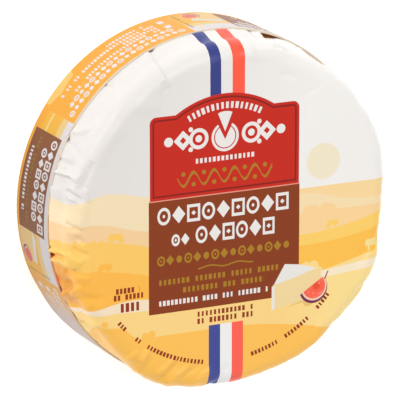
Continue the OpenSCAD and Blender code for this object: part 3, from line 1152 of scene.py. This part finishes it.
def card_scene(net, spot, s, z, colour):
    """Sky, sun, hills, a wedge and a fruit; s is mm along the pattern and z mm from the front edge."""
    start = SCENE_AT * CARD_MM
    wedge = polygon(spot, (start - 0.5, 10), (start + 9.5, 12.5), (start + 10.3, 19.6), (start - 0.5, 20.4))
    rind = polygon(spot, (start - 0.5, 10.4), (start + 2.4, 8.8), (start + 10.3, 11.2), (start + 9.5, 12.8))
    fig = ((spot.disc(start + 8 + off, 16.8 - off, r), ink) for off, r, ink in CARD_FIG)
    small_print = line_of_blocks(net, z, s, (4, 19, 93.4, 94.2), 0.7, 33) * 0.7
    picture = net.lay(
        hills(net, -z, CARD_SKY, SCENE_HILLS),
        (spot.disc(start + 11, 4, 1.5), SUN),
        (wedge, CARD_PALE),
        (rind, WHITE),
        *fig,
        (small_print, CARD_INK),
    )
    return net.blend(s.over(start), colour, picture)


def card_text(net, s, z):
    """White print on the orange panel and the brown one: two blocks, rows of figures and lines of blocks."""
    mask = abs(abs(z - 13.2) - 2.6).under(1.3) * s.span(3.3 * CARD_MM, 5.3 * CARD_MM)
    for *row, count, wall in BOLD_ROWS:
        mask = mask.most(frieze(s, z, card_row(*row), count, wall))
    for seed, row in enumerate(SMALL_ROWS, 21):
        mask = mask.most(line_of_blocks(net, s, z, card_row(*row), 1.15, seed))
    return mask


def card_print(net):
    """Print of the card: an orange panel, a strip of hills, a brown panel and a scene, over and over, then
    painted shade and a painted sheen down its left side.
    """
    _, run, z = net.print_place()
    run = run * CARD_MM
    s = (run - PATTERN_START) % PATTERN
    spot = net.add("ShaderNodeCombineXYZ", {}, {0: s, 1: z})
    light = polygon(spot, *((at * CARD_MM, down) for at, down in LIGHT_HILL))
    strip = s.span(STRIP_AT * CARD_MM, BROWN_AT * CARD_MM)
    panel = s.span(BROWN_AT * CARD_MM, SCENE_AT * CARD_MM)
    colour = net.lay(
        CARD_ORANGE,
        (light, CARD_LIGHT),
        (strip, hills(net, -z, CARD_SKY, STRIP_HILLS)),
        (panel, net.blend(z.over(BROWN_DOWN[1]), CARD_SKY, CARD_ORANGE)),
        (panel * z.span(*BROWN_DOWN), CARD_BROWN),
        (card_text(net, s, z), CARD_WHITE),
        (line_of_blocks(net, s, z, card_row(58.5, 87, 13.4, 15.0), 1.3, 31), CARD_GOLD),
    )
    colour = card_scene(net, spot, s, z, colour)
    # Painted shade darkens the card down its left side, and lower down a painted pale grey sheen stands in for
    # the floor that it reflects.
    before = run.fall(SHADE_OUT * CARD_MM, SHADE_END * CARD_MM)
    darker = run.rise(DARK_FROM * CARD_MM, DARK_OVER * CARD_MM) * before
    sheen_shade = run.rise(SHEEN_SHADE_FROM * CARD_MM, SHEEN_SHADE_OVER * CARD_MM) * before
    return net.lay(colour, (darker * DARK_MOST, (0, 0, 0, 1)), (sheen_shade * SHEEN_SHADE_MOST, CARD_SHADE_SHEEN))


def printed_card():
    """Satin printed card with a very slight unevenness."""
    net = Net("printed_card", SIDE_LIGHT, CARD_SHEEN)
    bump = net.bump(0.05, 0.0003, net.noise(net.object_place(), 300))
    return net.finish(card_print(net), CARD_ROUGH, CARD_GLOSS, Normal=bump)


def cut_card(name, look, roughness, painted_glow):
    """Bare card: an even colour with faint fibres, and a painted warm glow that lightens it, standing in for
    light that shines through it.
    """
    net = Net(name, SIDE_LIGHT, CARD_SHEEN)
    fibre = net.noise(net.object_place(), 900) * 0.5
    darker = tuple(0.9 * part for part in look)
    # Painted warm glow: emission on bare card, which is no lamp.
    glow = {"Emission Color": (1, 0.42, 0.2, 1), "Emission Strength": painted_glow}
    return net.finish(net.blend(fibre, look, darker), roughness, **glow)


# ---- floor, light and camera

FLOOR_HALF, FLOOR_GLOW = 3.0, 0.42      # in metres, and the floor's own light
ROOM_LIGHT = 0.65
# Each lamp: name, direction from the pack, size in metres and power.
LAMPS = (
    ("upper_light", (0.1, 0.38, 0.92), 0.6, 5.1),
    ("left_light", (-0.72, 0.56, 0.42), 0.5, 3.8),
    ("lower_light", (0.55, -0.68, 0.5), 0.8, 1.0),
)
LAMP_AWAY = 1.2


def floor():
    """A plain pale sheet well past the view on all sides."""
    mesh = bpy.data.meshes.new("floor")
    corners = [(x * FLOOR_HALF, y * FLOOR_HALF, 0) for x, y in ((-1, -1), (1, -1), (1, 1), (-1, 1))]
    mesh.from_pydata(corners, [], [(0, 1, 2, 3)])
    obj = in_scene("floor", mesh)
    glow = {"Emission Color": (1, 1, 1, 1), "Emission Strength": FLOOR_GLOW}
    mesh.materials.append(Net("pale_floor").finish((0.96, 0.96, 0.96, 1), 0.9, **glow))


def softbox(name, direction, size, watts):
    """A round lamp that faces the pack from a direction."""
    data = bpy.data.lights.new(name, "AREA")
    data.shape = "DISK"
    data.size = size
    data.energy = watts
    place = Vector(direction).normalized() * LAMP_AWAY
    facing = place.to_track_quat("Z", "Y").to_matrix().to_4x4()
    in_scene(name, data).matrix_world = Matrix.Translation(place) @ facing


def studio():
    """Even white light from all round."""
    world = bpy.data.worlds.new("studio")
    world.use_nodes = True
    background = world.node_tree.nodes["Background"]
    background.inputs["Color"].default_value = (1, 1, 1, 1)
    background.inputs["Strength"].default_value = ROOM_LIGHT
    bpy.context.scene.world = world
    bpy.context.scene.view_settings.view_transform = "Standard"


def camera():
    """Looks down from the upper left of the print, level with its x axis."""
    right = Vector((0, 1, 0)).cross(VIEW).normalized()
    up = VIEW.cross(right)
    aim = (Vector((0, 0, BAND_TOP)) + right * AIM_RIGHT + up * AIM_UP) * MM
    data = bpy.data.cameras.new("camera")
    data.lens = LENS
    data.sensor_width = 36
    data.clip_end = 20
    obj = in_scene("camera", data)
    facing = Matrix((right, up, VIEW)).transposed().to_4x4()
    obj.matrix_world = Matrix.Translation(aim + VIEW * VIEW_DISTANCE * MM) @ facing
    bpy.context.scene.camera = obj


paper_wrapper()
card_band()
floor()
studio()
for lamp in LAMPS:
    softbox(*lamp)
camera()
